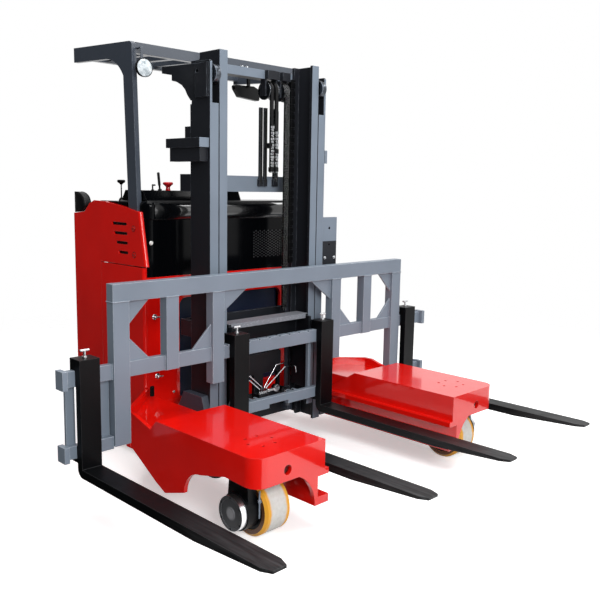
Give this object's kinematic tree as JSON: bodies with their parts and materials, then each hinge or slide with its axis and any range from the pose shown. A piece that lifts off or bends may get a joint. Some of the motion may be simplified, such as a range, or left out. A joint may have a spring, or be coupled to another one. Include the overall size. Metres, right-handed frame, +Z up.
{
  "type": "multidirectional reach truck",
  "caption": "Multidirectional reach truck with a wide fork carriage on a reaching two-stage mast, load legs with steerable wheels and a standing operator's place.",
  "frame": {"origin": "floor level under the middle of the machine's length and width", "axes": "+Z up, +X to the right seen from the fork side, forks towards -Y"},
  "size_m": [2.66, 2.44, 2.29],
  "materials": {
    "red_paint": "gloss enamel",
    "grey_paint": "satin powder coat",
    "charcoal_paint": "satin powder coat",
    "black_steel": "satin paint",
    "gloss_black": "polished",
    "black_plastic": "fine grain",
    "battery_blue": "satin paint",
    "chrome_plate": "polished",
    "bare_steel": "turned",
    "yellow_polyurethane": "smooth",
    "black_rubber": "matt",
    "red_plastic": "smooth",
    "black_vinyl": "grained",
    "mirror_glass": "polished",
    "lamp_glass": "clear"
  },
  "bodies": {
    "chassis": {"load_leg_left": "red_paint", "load_leg_right": "red_paint", "swivel_motors": "black_steel", "chassis_frame": "red_paint", "reach_cylinder": "charcoal_paint", "battery": "battery_blue", "front_panel": "red_paint", "front_cover": "gloss_black", "console": "black_plastic", "stop_knob": "red_plastic", "control_levers": "black_plastic", "side_panels": "red_paint", "side_flaps": "red_paint", "hip_pad": "black_vinyl", "overhead_guard": "charcoal_paint", "work_lamp": "lamp_glass", "mirror": "mirror_glass"},
    "reach_carriage": {"reach_carriage": "charcoal_paint", "reach_rod": "chrome_plate", "outer_mast_rails": "charcoal_paint", "outer_mast_cross_members": "charcoal_paint", "lift_cylinders": "charcoal_paint"},
    "inner_mast": {"inner_mast_rails": "grey_paint", "inner_mast_cross_members": "charcoal_paint", "lift_rods": "chrome_plate", "mast_rollers": "bare_steel", "lift_chains_and_hose_carrier": "black_plastic"},
    "lift_carriage": {"lift_carriage": "charcoal_paint", "carriage_rollers": "bare_steel", "tilt_cylinders": "black_steel", "hydraulic_pipes": "chrome_plate"},
    "tilt_rods": {"tilt_rods": "chrome_plate"},
    "fork_frame": {"fork_bars": "grey_paint", "frame_top_rail": "grey_paint", "frame_posts": "grey_paint", "frame_ties": "grey_paint"},
    "fork_outer_left": {"fork_outer_left": "black_steel"},
    "fork_inner_left": {"fork_inner_left": "black_steel"},
    "fork_inner_right": {"fork_inner_right": "black_steel"},
    "fork_outer_right": {"fork_outer_right": "black_steel"},
    "swivel_left": {"load_swivel_left": "black_steel", "load_motor_left": "bare_steel"},
    "swivel_right": {"load_swivel_right": "black_steel", "load_motor_right": "bare_steel"},
    "wheel_left": {"load_hub_left": "black_steel", "load_tyre_left": "yellow_polyurethane"},
    "wheel_right": {"load_hub_right": "black_steel", "load_tyre_right": "yellow_polyurethane"},
    "drive_yoke": {"drive_yoke": "black_steel"},
    "drive_wheel": {"drive_wheel": "black_rubber"},
    "caster_fork": {"caster_fork": "black_steel"},
    "caster_wheels": {"caster_wheels": "black_rubber"}
  },
  "joints": [
    {"name": "reach", "type": "slide", "parent": "chassis", "child": "reach_carriage", "axis": [0, -1, 0], "range_m": [0, 0.56]},
    {"name": "mast_lift", "type": "slide", "parent": "reach_carriage", "child": "inner_mast", "axis": [0, 0, 1], "range_m": [-0.09, 1.35]},
    {"name": "fork_lift", "type": "slide", "parent": "inner_mast", "child": "lift_carriage", "axis": [0, 0, 1], "range_m": [-0.09, 1.35]},
    {"name": "fork_tilt", "type": "hinge", "parent": "lift_carriage", "child": "fork_frame", "pos_m": [0, 0.14, 0.655], "axis": [1, 0, 0], "range_deg": [-5, 3]},
    {"name": "tilt_rod_slide", "type": "slide", "parent": "lift_carriage", "child": "tilt_rods", "axis": [0, 1, 0], "range_m": [-0.029, 0.0175]},
    {"name": "fork_slide_outer_left", "type": "slide", "parent": "fork_frame", "child": "fork_outer_left", "axis": [1, 0, 0], "range_m": [-0.042, 0.085]},
    {"name": "fork_slide_inner_left", "type": "slide", "parent": "fork_frame", "child": "fork_inner_left", "axis": [1, 0, 0], "range_m": [-0.04, 0.257]},
    {"name": "fork_slide_inner_right", "type": "slide", "parent": "fork_frame", "child": "fork_inner_right", "axis": [1, 0, 0], "range_m": [-0.284, 0.013]},
    {"name": "fork_slide_outer_right", "type": "slide", "parent": "fork_frame", "child": "fork_outer_right", "axis": [1, 0, 0], "range_m": [-0.023, 0.104]},
    {"name": "load_swivel_left", "type": "hinge", "parent": "chassis", "child": "swivel_left", "pos_m": [-0.735, -0.587, 0.373], "axis": [0, 0, 1], "range_deg": [0, 90]},
    {"name": "load_swivel_right", "type": "hinge", "parent": "chassis", "child": "swivel_right", "pos_m": [0.735, -0.587, 0.373], "axis": [0, 0, -1], "range_deg": [0, 90]},
    {"name": "load_wheel_left", "type": "hinge", "parent": "swivel_left", "child": "wheel_left", "pos_m": [-0.735, -0.587, 0.13], "axis": [1, 0, 0], "continuous": true},
    {"name": "load_wheel_right", "type": "hinge", "parent": "swivel_right", "child": "wheel_right", "pos_m": [0.735, -0.587, 0.13], "axis": [1, 0, 0], "continuous": true},
    {"name": "drive_steer", "type": "hinge", "parent": "chassis", "child": "drive_yoke", "pos_m": [-0.25, 0.75, 0.3], "axis": [0, 0, 1], "range_deg": [-95, 95]},
    {"name": "drive_spin", "type": "hinge", "parent": "drive_yoke", "child": "drive_wheel", "pos_m": [-0.25, 0.75, 0.125], "axis": [1, 0, 0], "continuous": true},
    {"name": "caster_swivel", "type": "hinge", "parent": "chassis", "child": "caster_fork", "pos_m": [0.33, 0.99, 0.24], "axis": [0, 0, 1], "continuous": true},
    {"name": "caster_spin", "type": "hinge", "parent": "caster_fork", "child": "caster_wheels", "pos_m": [0.33, 1.03, 0.075], "axis": [1, 0, 0], "continuous": true}
  ],
  "couplings": [
    {"joint": "fork_lift", "follows": "mast_lift", "ratio": 1},
    {"joint": "tilt_rod_slide", "follows": "fork_tilt", "m_per_rad": 0.33}
  ]
}
